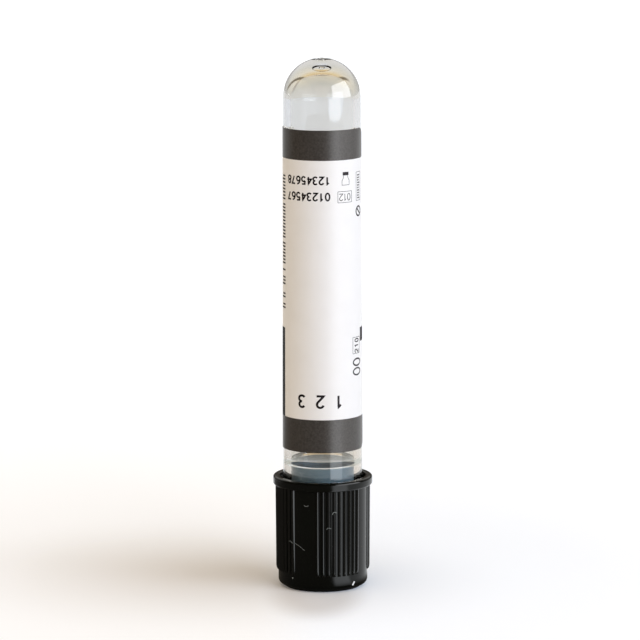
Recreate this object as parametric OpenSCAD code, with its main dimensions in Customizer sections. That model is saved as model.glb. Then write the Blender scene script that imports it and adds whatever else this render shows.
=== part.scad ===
// Plastic blood collection tube, stood upside down on its black safety cap.
// Z runs along the tube, z = 0 is the cap's outer end face, on which the tube stands,
// and the front of the label faces -Y. All sizes are in millimetres.

/* [Tube] */
// Length of the tube from its mouth to the domed end
tube_len = 75; // [65:0.5:100]
// Outer diameter at the mouth
mouth_d = 12.64; // [12.5:0.02:12.8]
// Outer diameter where the dome begins
dome_d = 12.24; // [12.1:0.02:12.4]
// Bore diameter at the mouth
bore_mouth_d = 10.16; // [10.16:0.02:10.3]
// Bore diameter where the hollow's round end begins
bore_dome_d = 10.04; // [9.9:0.02:10.1]
// Height of the hollow inside the dome, which is lower than the dome itself
core_h = 4.05; // [3.7:0.05:4.8]
// Diameter of the moulding gate mark on the dome
gate_d = 3.2; // [2:0.1:4]

/* [Cap] */
// Height of the cap with its flange
cap_h = 17.86; // [17:0.02:19]
// Diameter of the plain cap wall near its closed end
cap_d = 14.2; // [14:0.02:14.4]
// Diameter over the ribs at the flange
rib_d = 15.1; // [14.9:0.02:15.4]
// Ribs in each of the four groups
rib_count = 9; // [3:1:11]
// Flange diameter
flange_d = 15.84; // [15.6:0.02:17]
// Flange thickness
flange_h = 1.45; // [1.2:0.05:2]
// Diameter of the foot rim on the closed end
foot_d = 12.2; // [11.6:0.1:12.4]
// Diameter of the hole that lets the needle reach the stopper
port_d = 8; // [6:0.1:9]

/* [Stopper] */
// Height of the stopper's head, from the cap's end wall to the tube's rim
head_h = 7.56; // [6.5:0.02:8]
// Length of the plug inside the tube
plug_len = 10.26; // [9.5:0.02:12]
// Diameter of the plug's sealing rings
plug_d = 10; // [9.9:0.02:10.02]
// Diameter of the cup in the plug's inner end
cup_d = 7.5; // [6:0.1:7.6]
// Depth of the cup
cup_depth = 4; // [2:0.1:5]

/* [Additive] */
// Depth of solution over the plug's rim, at the middle
pool_depth = 0.8; // [0.1:0.05:2]
// Height that the solution climbs up the wall
meniscus_h = 0.3; // [0.1:0.05:2]

/* [Label] */
// Bare tube between the cap's flange and the label
label_gap = 4.62; // [2:0.02:8]
// Label length along the tube
label_len = 51.2; // [40:0.1:52]
// Dark band at the label's end by the cap
low_band = 5.3; // [3:0.1:8]
// Dark band at the label's end by the dome
high_band = 4.75; // [3:0.05:8]
// Height of the dark panel above the lower band
panel_h = 14.2; // [8:0.1:20]
// Angle from the front to the label's right-hand end
label_end = 92; // [80:1:100]
// Angle of tube that the label leaves clear, as a window at the back
window = 143; // [30:1:160]

/* [Hidden] */
$fn = 96;
eps = 0.01;            // cuts run this far past a face
lap = 0.1;             // solids that join run this far into each other

// Cap: wall, floor and the shapes on them
end_wall = 1.9;        // closed end, under the stopper
foot_h = 0.3;          // foot rim standing proud of the recessed end
foot_in_d = 10;        // inside of the foot rim
heel_r = 0.8;          // rounding from the end into the wall
wall_draft = 0.08;     // the wall's radius grows by this up to the flange
socket_d = 13.1;       // inside of the cap
socket_mouth_d = 13.7; // inside of the flange, where the tube enters
lead_in = 0.7;         // height of the socket's tapered mouth
edge_r = 0.35;         // rounding of the flange's two edges
bead_r = 0.2;          // snap bead that holds the stopper
bead_z = 5.4;
wall_r0 = cap_d / 2;
wall_r1 = wall_r0 + wall_draft;
heel_z = foot_h + heel_r;  // where the rounded heel ends and the wall begins
flange_r = flange_d / 2;
flange_z = cap_h - flange_h;

// Ribs: slots all round, of which each group fills some
rib_groups = 4;
rib_slots = 52;
rib_pitch = 360 / rib_slots;
rib_middle = 21.3;     // from the front to the middle of the first group
rib_z = 2.6;           // where the ribs run out into the wall
rib_ramp = 0.7;        // height of that run-out
rib_root_w = 0.62;
rib_crest_w = 0.2;
rib_draft = 0.08;      // the ribs stand lower by this near the closed end

// Tube
rim_z = end_wall + head_h;
tube_top = rim_z + tube_len;
dome_r = dome_d / 2;
dome_z = tube_top - dome_r;
mouth_round = 0.3;     // rounding of the mouth's outer edge
core_round = 4.4;      // the hollow's end is flat in its middle and rounded by this
core_turn_z = dome_z + core_h - core_round;    // where that rounding begins
gate_depth = 0.12;
gate_pip_d = 0.9;

// Stopper
head_r = 6.5;
plug_r = plug_d / 2;
waist_r = plug_r - 0.35;   // between the sealing rings
ring_h = 2.6;              // height of each sealing ring
plug_top = rim_z + plug_len;
rim_round = 0.2;           // rounding of the plug's rim
bead_gap = 0.05;           // clearance round the cap's snap bead
dimple_r = 1.6;            // target for the needle
dimple_depth = 0.5;
cup_r = cup_d / 2;
cup_z = plug_top - cup_depth;

// Additive: a spherical meniscus, from its middle up to its edge. The rubber is siliconised
// and isn't wetted, so a thin film of air stays between its rim and the solution.
air_film = 0.03;
pool_z = plug_top + pool_depth;
meniscus_r = (plug_r * plug_r + meniscus_h * meniscus_h) / (2 * meniscus_h);

// Label
paper = 0.08;
ink = 0.08;
ink_gap = 0.015;       // keeps the print's solid clear of the paper's
label_z0 = cap_h + label_gap;
label_z1 = label_z0 + label_len;
label_start = label_end + window - 360;
label_corner = 2.5;
corner_over = 0.05;    // the corner's arc crosses the edges, and doesn't just touch them
panel_from = -69;      // the panel's front edge, left of the front
tick_from = 70;        // the panel's short far end, right of the front
tick_h = 2.2;
panel_z1 = label_z0 + low_band + panel_h;

// Outer radius of the bare tube at height z
function tube_r(z) =
    mouth_d / 2 + (dome_d - mouth_d) / 2 * (z - rim_z) / (dome_z - rim_z);

// Cut away from a half section that is about to be turned, because none may cross the axis
module behind_axis() {
    reach = 2 * meniscus_r;
    translate([-reach, -reach / 2])
        square([reach, tube_top + reach]);
}

// A sleeve that hugs the tube from z0 to z1 and from angle a0 to a1,
// measured from the front, between two distances off the tube's skin
module sleeve(near, far, z0, z1, a0, a1) {
    rotate([0, 0, a0 - 90])
        rotate_extrude(angle = a1 - a0)
            polygon([
                [tube_r(z0) + near, z0],
                [tube_r(z0) + far, z0],
                [tube_r(z1) + far, z1],
                [tube_r(z1) + near, z1]
            ]);
}

// What is cut away to round one corner of the label: side is 1 at its right-hand end
// and -1 at its left-hand one, and up is 1 at the top and -1 at the bottom
module corner_cut(a, z, side, up) {
    rotate([0, 0, a - 90])
        translate([bore_dome_d / 2, 0, z])
            mirror([0, side < 0 ? 1 : 0, 0])
                mirror([0, 0, up < 0 ? 1 : 0])
                    rotate([90, 0, 90])
                        linear_extrude(mouth_d / 2)
                            translate([-label_corner, -label_corner])
                                difference() {
                                    square(label_corner + lap);
                                    circle(r = label_corner + corner_over);
                                }
}

module label_corners() {
    for (up = [-1, 1]) {
        z = up > 0 ? label_z1 : label_z0;
        corner_cut(label_end, z, 1, up);
        corner_cut(label_start, z, -1, up);
    }
}

// Half section of the cap without its ribs, as a lathe would cut it
module cap_section() {
    difference() {
        union() {
            // foot rim, and the core behind the rounded heel
            square([foot_d / 2, end_wall]);
            translate([0, foot_h])
                square([wall_r0 - heel_r, end_wall]);
            translate([wall_r0 - heel_r, heel_z])
                circle(r = heel_r);
            // wall
            polygon([
                [0, heel_z],
                [wall_r0, heel_z],
                [wall_r1, flange_z],
                [wall_r1, flange_z + edge_r],
                [0, flange_z + edge_r]
            ]);
            // flange with its two rounded edges
            translate([0, flange_z])
                square([flange_r - edge_r, flange_h]);
            translate([0, flange_z + edge_r])
                square([flange_r, flange_h - 2 * edge_r]);
            for (z = [flange_z + edge_r, cap_h - edge_r])
                translate([flange_r - edge_r, z])
                    circle(r = edge_r);
        }
        // recess inside the foot rim
        translate([-eps, -eps])
            square([foot_in_d / 2 + eps, foot_h + eps]);
        // needle port
        translate([-eps, 0])
            square([port_d / 2 + eps, end_wall + lap]);
        // socket, with its lead-in at the flange
        difference() {
            polygon([
                [-eps, end_wall],
                [socket_d / 2, end_wall],
                [socket_d / 2, cap_h - lead_in],
                [socket_mouth_d / 2, cap_h + eps],
                [-eps, cap_h + eps]
            ]);
            translate([socket_d / 2, bead_z])
                circle(r = bead_r);
        }
        behind_axis();
    }
}

// One radial fin, cut to the ribs' envelope afterwards
module rib_fin(angle) {
    rotate([0, 0, angle - 90])
        translate([0, 0, rib_z - lap])
            linear_extrude(flange_z - rib_z + 2 * lap)
                polygon([
                    [wall_r0 - 2 * lap, -rib_root_w / 2],
                    [rib_d / 2 + lap, -rib_crest_w / 2],
                    [rib_d / 2 + lap, rib_crest_w / 2],
                    [wall_r0 - 2 * lap, rib_root_w / 2]
                ]);
}

module cap_ribs() {
    half = (rib_count - 1) / 2;
    intersection() {
        rotate_extrude()
            polygon([
                [wall_r0 - lap, rib_z],
                [wall_r0, rib_z],
                [rib_d / 2 - rib_draft, rib_z + rib_ramp],
                [rib_d / 2, flange_z + lap],
                [wall_r0 - lap, flange_z + lap]
            ]);
        for (g = [0 : rib_groups - 1], i = [0 : rib_count - 1])
            rib_fin(rib_middle + g * 360 / rib_groups + (i - half) * rib_pitch);
    }
}

module cap() {
    color("#15171a")
        union() {
            rotate_extrude() cap_section();
            cap_ribs();
        }
}

// Rubber stopper: a head inside the cap and a cupped plug inside the tube
module stopper() {
    color("#3a3d40")
        rotate_extrude()
            difference() {
                union() {
                    translate([0, end_wall])
                        square([head_r, head_h]);
                    translate([0, rim_z])
                        square([waist_r, plug_len - rim_round]);
                    translate([0, rim_z])
                        square([plug_r, ring_h]);
                    translate([0, plug_top - ring_h])
                        square([plug_r, ring_h - rim_round]);
                    translate([0, plug_top - rim_round])
                        square([plug_r - rim_round, rim_round]);
                    translate([plug_r - rim_round, plug_top - rim_round])
                        circle(r = rim_round);
                }
                // groove for the cap's snap bead
                translate([socket_d / 2, bead_z])
                    circle(r = bead_r + bead_gap);
                // cup in the inner end
                translate([-eps, cup_z])
                    square([cup_r + eps, cup_depth + eps]);
                // dimple over the needle port
                translate([-eps, end_wall - eps])
                    square([dimple_r + eps, dimple_depth + eps]);
                behind_axis();
            }
}

// Anticoagulant solution, resting in the stopper's cup and wetting the wall above it
module additive() {
    color("#d9dcd6", 0.5)
        rotate_extrude()
            difference() {
                union() {
                    translate([0, cup_z])
                        square([cup_r - air_film, cup_depth + air_film + eps]);
                    translate([0, plug_top + air_film])
                        square([plug_r, pool_depth + meniscus_h - air_film - eps]);
                }
                translate([0, pool_z + meniscus_r])
                    circle(r = meniscus_r);
                behind_axis();
            }
}

// Half section of the hollow's end inside the dome
module core_end() {
    flat_r = bore_dome_d / 2 - core_round;
    translate([0, core_turn_z - eps])
        square([flat_r, core_round + eps]);
    intersection() {
        translate([flat_r, core_turn_z]) circle(r = core_round);
        translate([0, core_turn_z - eps]) square(dome_r);
    }
}

module tube() {
    gate_floor = dome_z + sqrt(dome_r * dome_r - gate_d * gate_d / 4) - gate_depth;
    color("#e4e8e6", 0.35)
        difference() {
            union() {
                rotate_extrude()
                    union() {
                        polygon([
                            [0, rim_z],
                            [tube_r(rim_z) - mouth_round, rim_z],
                            [tube_r(rim_z + mouth_round), rim_z + mouth_round],
                            [dome_r, dome_z],
                            [0, dome_z]
                        ]);
                        intersection() {
                            translate([0, dome_z]) circle(r = dome_r);
                            translate([0, dome_z - eps]) square(gate_floor - dome_z + eps);
                        }
                        // rim of the gate mark, left standing round its floor
                        intersection() {
                            translate([0, dome_z]) circle(r = dome_r);
                            translate([gate_d / 2, dome_z]) square(dome_r);
                        }
                    }
                translate([0, 0, gate_floor - lap])
                    cylinder(d = gate_pip_d, h = tube_top - gate_floor + lap);
            }
            rotate_extrude()
                union() {
                    polygon([
                        [0, rim_z - lap],
                        [bore_mouth_d / 2, rim_z - lap],
                        [bore_mouth_d / 2, rim_z],
                        [bore_dome_d / 2, core_turn_z],
                        [0, core_turn_z]
                    ]);
                    core_end();
                }
        }
}

// White label, wrapped round the tube but for a clear window at its back
module label() {
    color("#f1f1ef")
        difference() {
            sleeve(0, paper, label_z0, label_z1, label_start, label_end);
            label_corners();
        }
}

// Dark printed fields: a band at each end, a panel round the back and its short far end
module label_print() {
    color("#3d3936")
        difference() {
            union() {
                // lower band and panel, as one field with its front left out
                difference() {
                    sleeve(paper + ink_gap, paper + ink, label_z0, panel_z1, label_start, label_end);
                    sleeve(0, 2 * (paper + ink), label_z0 + low_band, panel_z1 + lap,
                        panel_from, label_end + 1);
                }
                sleeve(paper + ink_gap, paper + ink, panel_z1 - tick_h, panel_z1, tick_from, label_end);
                sleeve(paper + ink_gap, paper + ink, label_z1 - high_band, label_z1, label_start, label_end);
            }
            label_corners();
        }
}

cap();
stopper();
additive();
tube();
label();
label_print();
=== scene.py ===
"""Blood collection tube, stood upside down on its black safety cap.

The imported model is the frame. Each operator below makes one piece, or one group of like
pieces, round it: the clear tube, its label and print, the cap with its ribs, the stopper, the
solution and the small marks of handling.
"""

import math

import bmesh
import bpy
from bpy.props import FloatProperty, FloatVectorProperty, IntProperty, PointerProperty
from mathutils import Matrix, Vector


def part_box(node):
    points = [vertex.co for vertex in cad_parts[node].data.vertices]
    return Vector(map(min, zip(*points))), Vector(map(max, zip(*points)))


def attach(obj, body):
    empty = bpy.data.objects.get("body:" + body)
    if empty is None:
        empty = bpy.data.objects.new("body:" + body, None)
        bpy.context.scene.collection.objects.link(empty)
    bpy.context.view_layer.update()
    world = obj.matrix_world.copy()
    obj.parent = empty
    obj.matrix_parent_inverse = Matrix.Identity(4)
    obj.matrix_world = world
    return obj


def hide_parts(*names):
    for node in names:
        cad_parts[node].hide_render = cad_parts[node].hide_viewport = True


bl_info = {
    "name": "Blood collection tube",
    "version": (1, 0, 0),
    "blender": (4, 5, 0),
    "location": "3D View > Sidebar > Tube",
    "description": "A clear sample tube with its label, stopper and ribbed safety cap",
    "category": "Object",
}

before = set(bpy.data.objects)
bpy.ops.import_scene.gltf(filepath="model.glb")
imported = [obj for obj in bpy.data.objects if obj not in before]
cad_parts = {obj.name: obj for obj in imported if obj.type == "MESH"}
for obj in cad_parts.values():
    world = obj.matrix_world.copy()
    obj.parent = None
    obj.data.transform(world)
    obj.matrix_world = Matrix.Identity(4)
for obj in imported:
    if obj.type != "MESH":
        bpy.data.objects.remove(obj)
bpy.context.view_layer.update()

MM = 0.001
TAU = 2 * math.pi

TUBE_LOW, TUBE_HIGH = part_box("tube")
LABEL_LOW, LABEL_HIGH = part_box("label")
STOPPER_LOW, STOPPER_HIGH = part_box("stopper")
CAP_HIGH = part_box("cap")[1]

CAP_BODY = "cap_side"
TUBE_BODY = "tube_side"

BLACK_INK = "black ink, thermal printed"
# the flecks of the label's paper, drawn as coarse as they need to be to show
FIBRE_MM = 0.3


# ---------------------------------------------------------------- colour and nodes


def linear(hex_colour, alpha=1.0):
    """An sRGB hex colour as linear RGBA."""
    channels = [int(hex_colour[i : i + 2], 16) / 255 for i in (1, 3, 5)]
    return (*(c / 12.92 if c <= 0.04045 else ((c + 0.055) / 1.055) ** 2.4 for c in channels), alpha)


def add_node(tree, kind, inputs=None, **settings):
    """Adds a node, sets its properties, and fills or links its inputs by name or number. A node
    given as an input stands for its first output in use."""
    node = tree.nodes.new(kind)
    for name, value in settings.items():
        setattr(node, name, value)
    for name, value in (inputs or {}).items():
        if isinstance(value, bpy.types.Node):
            value = next(output for output in value.outputs if output.enabled)
        if isinstance(value, bpy.types.NodeSocket):
            tree.links.new(value, node.inputs[name])
        else:
            node.inputs[name].default_value = value
    return node


def start_material(name):
    """An empty material and its node tree."""
    material = bpy.data.materials.new(name)
    material.use_nodes = True
    material.node_tree.nodes.clear()
    return material, material.node_tree


def finish_material(material, shader):
    """Gives a material its output."""
    add_node(material.node_tree, "ShaderNodeOutputMaterial", {"Surface": shader})
    return material


def grain(tree, size_mm, detail=2.0, stretch=(1, 1, 1)):
    """Noise whose features are about size_mm across, on the piece's own coordinates."""
    place = add_node(tree, "ShaderNodeTexCoord").outputs["Object"]
    mapped = add_node(tree, "ShaderNodeMapping", {"Vector": place, "Scale": stretch})
    return add_node(
        tree,
        "ShaderNodeTexNoise",
        {"Vector": mapped, "Scale": 1 / (size_mm * MM), "Detail": detail},
    )


def cloudy(tree, size_mm, dark, light, detail=2.0):
    """A colour that drifts between two hex colours, in patches about size_mm across."""
    return add_node(
        tree,
        "ShaderNodeMix",
        {"Factor": grain(tree, size_mm, detail), "A": linear(dark), "B": linear(light)},
        data_type="RGBA",
    )


def uneven(tree, size_mm, depth_mm, strength, detail=2.0, stretch=(1, 1, 1)):
    """A skin with bumps about size_mm across and depth_mm deep, which shows by its strength."""
    bumps = grain(tree, size_mm, detail, stretch)
    return add_node(
        tree,
        "ShaderNodeBump",
        {"Height": bumps, "Strength": strength, "Distance": depth_mm * MM},
    )


def lamps_through(tree, shader, tint):
    """Lets lamps shine through a clear shader, where they would otherwise cast a black shadow."""
    path = add_node(tree, "ShaderNodeLightPath").outputs
    straight = add_node(tree, "ShaderNodeBsdfTransparent", {"Color": linear(tint)})
    return add_node(
        tree, "ShaderNodeMixShader", {0: path["Is Shadow Ray"], 1: shader, 2: straight}
    )


# ---------------------------------------------------------------- materials


def moulded_polyethylene(name, polish):
    """Black polyethylene, injection moulded in a spark-eroded tool: a low, even sheen over a
    very fine grain, with handling marks that dull it in patches. Fingers polish what stands out."""
    material, tree = start_material(name)
    patch_mm = 2.5
    rough = add_node(
        tree,
        "ShaderNodeMapRange",
        {"Value": grain(tree, patch_mm, detail=3), "To Min": 0.11, "To Max": 0.19},
    )
    shader = add_node(
        tree,
        "ShaderNodeBsdfPrincipled",
        {
            "Base Color": cloudy(tree, patch_mm, "#040503", "#080a07", detail=3),
            "Roughness": rough,
            "IOR": 1.33,
            "Coat Weight": polish,
            "Coat Roughness": 0.1,
            "Normal": uneven(tree, size_mm=0.16, depth_mm=0.008, strength=0.35),
        },
    )
    return finish_material(material, shader)


def clear_pet():
    """PET, injection moulded in a polished tool: glass-clear and a little grey, with faint rings
    across the wall where the melt cooled as it flowed."""
    material, tree = start_material("clear PET, moulded")
    across_wall = (0.12, 0.12, 1)
    rings = uneven(tree, size_mm=1.6, depth_mm=0.006, strength=0.3, detail=1, stretch=across_wall)
    shader = add_node(
        tree,
        "ShaderNodeBsdfPrincipled",
        {
            "Base Color": linear("#f9f9f6"),
            "Roughness": 0.02,
            "IOR": 1.57,
            "Transmission Weight": 1.0,
            "Normal": rings,
        },
    )
    return finish_material(material, lamps_through(tree, shader, "#eceae6"))


def citrate_solution():
    """Citrate in water: colourless, mirror smooth, bending light as water does."""
    material, tree = start_material("citrate solution")
    shader = add_node(
        tree,
        "ShaderNodeBsdfPrincipled",
        {
            "Base Color": linear("#f6f9fa"),
            "Roughness": 0.0,
            "IOR": 1.34,
            "Transmission Weight": 1.0,
        },
    )
    return finish_material(material, lamps_through(tree, shader, "#f4f7f8"))


def siliconised_rubber():
    """Dark grey halobutyl rubber, moulded and siliconised: smooth, with an oily sheen whose blue is a
    painted tint on its reflections.
    """
    material, tree = start_material("grey halobutyl rubber, siliconised")
    shader = add_node(
        tree,
        "ShaderNodeBsdfPrincipled",
        {
            "Base Color": cloudy(tree, size_mm=1.8, dark="#4b5a64", light="#576873"),
            "Roughness": 0.3,
            "IOR": 1.65,
            # painted reflection colour: the blue stands in for the bluish window light that the rubber
            # reflects
            "Specular Tint": linear("#a0dcff"),
            "Normal": uneven(tree, size_mm=0.25, depth_mm=0.01, strength=0.15),
        },
    )
    return finish_material(material, shader)


def coated_paper():
    """White label paper with a clear satin film over it: an even white, a soft gloss streak, and
    the faintest cloudiness of paper fibre."""
    material, tree = start_material("white label paper, film coated")
    shader = add_node(
        tree,
        "ShaderNodeBsdfPrincipled",
        {
            "Base Color": cloudy(tree, size_mm=3.0, dark="#ecebe8", light="#f2f1ef", detail=3),
            "Roughness": 0.42,
            "IOR": 1.48,
            "Normal": uneven(tree, FIBRE_MM, depth_mm=0.004, strength=0.1),
        },
    )
    return finish_material(material, shader)


def printed_charcoal():
    """Charcoal offset ink under the same film: warm, nearly even, with a soft gloss."""
    material, tree = start_material("charcoal ink, printed and film coated")
    shader = add_node(
        tree,
        "ShaderNodeBsdfPrincipled",
        {
            "Base Color": cloudy(tree, FIBRE_MM, "#211d19", "#504c48"),
            "Roughness": 0.33,
            "IOR": 1.5,
            "Normal": uneven(tree, FIBRE_MM, depth_mm=0.004, strength=0.1),
        },
    )
    return finish_material(material, shader)


def plain_surface(name, colour, roughness, ior, alpha=1.0):
    """A surface of one colour and one roughness."""
    material, tree = start_material(name)
    shader = add_node(
        tree,
        "ShaderNodeBsdfPrincipled",
        {"Base Color": colour, "Roughness": roughness, "IOR": ior, "Alpha": alpha},
    )
    return finish_material(material, shader)


def printed_black():
    """Thermal transfer ink: near black, a little plum, dull, and very slightly raised."""
    ink = bpy.data.materials.get(BLACK_INK)
    return ink or plain_surface(BLACK_INK, linear("#160d12"), roughness=0.55, ior=1.35)


def scuffed_polyethylene():
    """Scuffed black polyethylene and lint caught on it: the scratched plastic turns pale grey."""
    material, tree = start_material("scuffed polyethylene and lint")
    tone = cloudy(tree, size_mm=0.5, dark="#4e524f", light="#8f9491")
    shader = add_node(
        tree, "ShaderNodeBsdfPrincipled", {"Base Color": tone, "Roughness": 0.45, "IOR": 1.5}
    )
    return finish_material(material, shader)


def chip_with_painted_glint():
    """A fresh chip in the cap's heel: torn, shiny plastic, with the glint of its edge painted as a white
    colour.
    """
    return plain_surface("chipped polyethylene, glint painted white", linear("#eef0ef"), roughness=0.25, ior=1.5)


def scratched_pet():
    """A hairline scratch in clear PET: its rough floor scatters light and looks pale."""
    return plain_surface("scratched PET", linear("#b9c6cc"), roughness=0.6, ior=1.57, alpha=0.45)


# ---------------------------------------------------------------- mesh helpers


def arc(centre_r, centre_z, radius, start, end, steps):
    """Points of a round stretch of a half section, its angles in degrees from the outward
    direction towards +Z."""
    points = []
    for i in range(steps + 1):
        angle = math.radians(start + (end - start) * i / steps)
        points.append((centre_r + radius * math.cos(angle), centre_z + radius * math.sin(angle)))
    return points


def finish_mesh(mesh, sharp_degrees=35):
    """Turns the faces of a closed mesh outwards and shades it smooth, but for its sharp edges."""
    form = bmesh.new()
    form.from_mesh(mesh)
    bmesh.ops.recalc_face_normals(form, faces=form.faces)
    form.to_mesh(mesh)
    form.free()
    mesh.polygons.foreach_set("use_smooth", [True] * len(mesh.polygons))
    mesh.set_sharp_from_angle(angle=math.radians(sharp_degrees))
    mesh.update()


def add_piece(name, data):
    """An object at the origin, in the scene, that holds a mesh, lamp or camera."""
    piece = bpy.data.objects.new(name, data)
    bpy.context.scene.collection.objects.link(piece)
    return piece


def solid_piece(name, vertices, faces, sharp_degrees=35):
    """A closed solid from its vertices and faces."""
    mesh = bpy.data.meshes.new(name)
    mesh.from_pydata(vertices, [], faces)
    finish_mesh(mesh, sharp_degrees)
    return add_piece(name, mesh)


def lathe(name, section, segments, closed=False, sharp_degrees=35):
    """A solid of revolution about Z. section is a list of (radius, height): it runs from pole to
    pole, or, where it is closed, round a ring."""
    vertices = []
    rings = []
    for radius, height in section:
        if radius < 1e-9:
            rings.append([len(vertices)])
            vertices.append((0.0, 0.0, height))
            continue
        rings.append(range(len(vertices), len(vertices) + segments))
        for i in range(segments):
            angle = TAU * i / segments
            vertices.append((radius * math.cos(angle), radius * math.sin(angle), height))
    faces = []
    pairs = list(zip(rings, rings[1:]))
    if closed:
        pairs.append((rings[-1], rings[0]))
    for low, high in pairs:
        for i in range(segments):
            j = (i + 1) % segments
            corners = [low[i % len(low)], low[j % len(low)], high[j % len(high)], high[i % len(high)]]
            faces.append(list(dict.fromkeys(corners)))
    return solid_piece(name, vertices, faces, sharp_degrees)


def tube_radius(z):
    """Outer radius of the tapered tube at height z."""
    shape = bpy.context.scene.tube_shape
    dome_z = TUBE_HIGH.z - shape.dome_radius
    share = (z - TUBE_LOW.z) / (dome_z - TUBE_LOW.z)
    return shape.mouth_radius + (shape.dome_radius - shape.mouth_radius) * share


def on_tube(degrees, z, lift):
    """The point at an angle from the front, positive towards +X, and lift off the tube's skin."""
    radius = tube_radius(z) + lift
    angle = math.radians(degrees)
    return Vector((radius * math.sin(angle), -radius * math.cos(angle), z))


def wrapped_strip(name, columns, lows, highs, near, far, rows):
    """A thin closed sheet that hugs the tube. columns are angles, and lows and highs are the
    heights of its two edges at each; near and far are its faces' distances off the skin."""
    vertices = []
    for lift in (near, far):
        for degrees, low, high in zip(columns, lows, highs):
            for i in range(rows + 1):
                vertices.append(on_tube(degrees, low + (high - low) * i / rows, lift))
    count = len(columns)
    stride = rows + 1
    back = count * stride
    faces = []
    for layer in (0, back):
        for c in range(count - 1):
            for i in range(rows):
                a = layer + c * stride + i
                faces.append((a, a + stride, a + stride + 1, a + 1))
    for c in range(count - 1):
        for i in (0, rows):
            a = c * stride + i
            faces.append((a, a + stride, a + stride + back, a + back))
    for c in (0, count - 1):
        for i in range(rows):
            a = c * stride + i
            faces.append((a, a + 1, a + 1 + back, a + back))
    return solid_piece(name, vertices, faces)


def oval(x, y, half_width, half_height, start, end, steps=18):
    """Points round an oval or a part of it, its angles in degrees from the right and upwards."""
    points = []
    for i in range(steps + 1):
        angle = math.radians(start + (end - start) * i / steps)
        points.append((x + half_width * math.cos(angle), y + half_height * math.sin(angle)))
    return points


def finer(points, longest):
    """The same line with points put in, so that no stretch of it is longer than longest."""
    line = [Vector(points[0])]
    for point in points[1:]:
        start = line[-1]
        stretch = Vector(point) - start
        steps = max(1, math.ceil(stretch.length / longest))
        line += [start + stretch * i / steps for i in range(1, steps + 1)]
    return line


def ribbon(form, points, width, place, near, far):
    """Adds a thin closed band to a bmesh. It follows points of (across, up) on a surface, and
    place puts such a point into space at a lift off that surface."""
    line = finer(points, 0.25 * MM)
    closed = (line[0] - line[-1]).length < 1e-7
    if closed:
        line.pop()
    count = len(line)
    columns = []
    for i, here in enumerate(line):
        before = line[i - 1] if closed or i else here
        after = line[(i + 1) % count] if closed or i < count - 1 else here
        into = (here - before).normalized()
        onward = (after - here).normalized()
        along = (into + onward).normalized()
        turn = max(along.dot(into), along.dot(onward), 0.5)
        aside = Vector((-along.y, along.x)) * width / 2 / turn
        sides = (here - aside, here + aside)
        columns.append([form.verts.new(place(side, lift)) for lift in (near, far) for side in sides])
    pairs = list(zip(columns, columns[1:]))
    if closed:
        pairs.append((columns[-1], columns[0]))
    else:
        for end in (columns[0], columns[-1]):
            form.faces.new((end[0], end[1], end[3], end[2]))
    for a, b in pairs:
        for i, j in ((0, 1), (1, 3), (3, 2), (2, 0)):
            form.faces.new((a[i], a[j], b[j], b[i]))


def bands(name, ribbons, place, near, far):
    """A piece made of ribbons, each a pair of points and width."""
    form = bmesh.new()
    for points, width in ribbons:
        ribbon(form, points, width, place, near, far)
    mesh = bpy.data.meshes.new(name)
    form.to_mesh(mesh)
    form.free()
    finish_mesh(mesh)
    return add_piece(name, mesh)


def join(name, pieces):
    """Joins pieces into the first one and names it."""
    for piece in bpy.context.selected_objects:
        piece.select_set(False)
    for piece in pieces:
        piece.select_set(True)
    bpy.context.view_layer.objects.active = pieces[0]
    bpy.ops.object.join()
    pieces[0].name = name
    pieces[0].data.name = name
    return pieces[0]


def dress(piece, body, material, slot=None, *nodes):
    """Gives a finished piece its material and its body, and hides the imported parts that it stands for.
    slot is not used. The marks of wear have no slot of their own."""
    if not piece.data.vertices:
        raise RuntimeError(f"{piece.name} came out empty")
    piece.data.materials.clear()
    piece.data.materials.append(material)
    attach(piece, body)
    if nodes:
        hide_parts(*nodes)


# ---------------------------------------------------------------- settings


class TubeShape(bpy.types.PropertyGroup):
    mouth_radius: FloatProperty(
        name="Mouth radius",
        description="Outer radius of the tube at its mouth",
        default=TUBE_HIGH.x,
        unit="LENGTH",
    )
    dome_radius: FloatProperty(
        name="Dome radius",
        description="Outer radius where the dome begins, and of the dome itself",
        default=6.12 * MM,
        unit="LENGTH",
    )
    bore_mouth_radius: FloatProperty(
        name="Bore radius at the mouth",
        description="Inner radius of the tube at its mouth",
        default=5.08 * MM,
        unit="LENGTH",
    )
    bore_dome_radius: FloatProperty(
        name="Bore radius at the dome",
        description="Inner radius where the dome begins",
        default=5.02 * MM,
        unit="LENGTH",
    )
    core_height: FloatProperty(
        name="Height of the hollow's end",
        description="How far the hollow reaches into the dome",
        default=4.05 * MM,
        unit="LENGTH",
    )
    core_round: FloatProperty(
        name="Rounding of the hollow's end",
        description="Radius that rounds the wall of the hollow into its flat end",
        default=4.4 * MM,
        unit="LENGTH",
    )
    gate_radius: FloatProperty(
        name="Gate mark radius",
        description="Radius of the sunk disc that the moulding gate leaves on the dome",
        default=1.6 * MM,
        unit="LENGTH",
    )
    gate_depth: FloatProperty(
        name="Gate mark depth",
        description="How far the disc is sunk below its rim",
        default=0.12 * MM,
        unit="LENGTH",
    )
    pip_radius: FloatProperty(
        name="Gate pip radius",
        description="Radius of the stub of the sprue in the middle of the disc",
        default=0.45 * MM,
        unit="LENGTH",
    )


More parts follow.
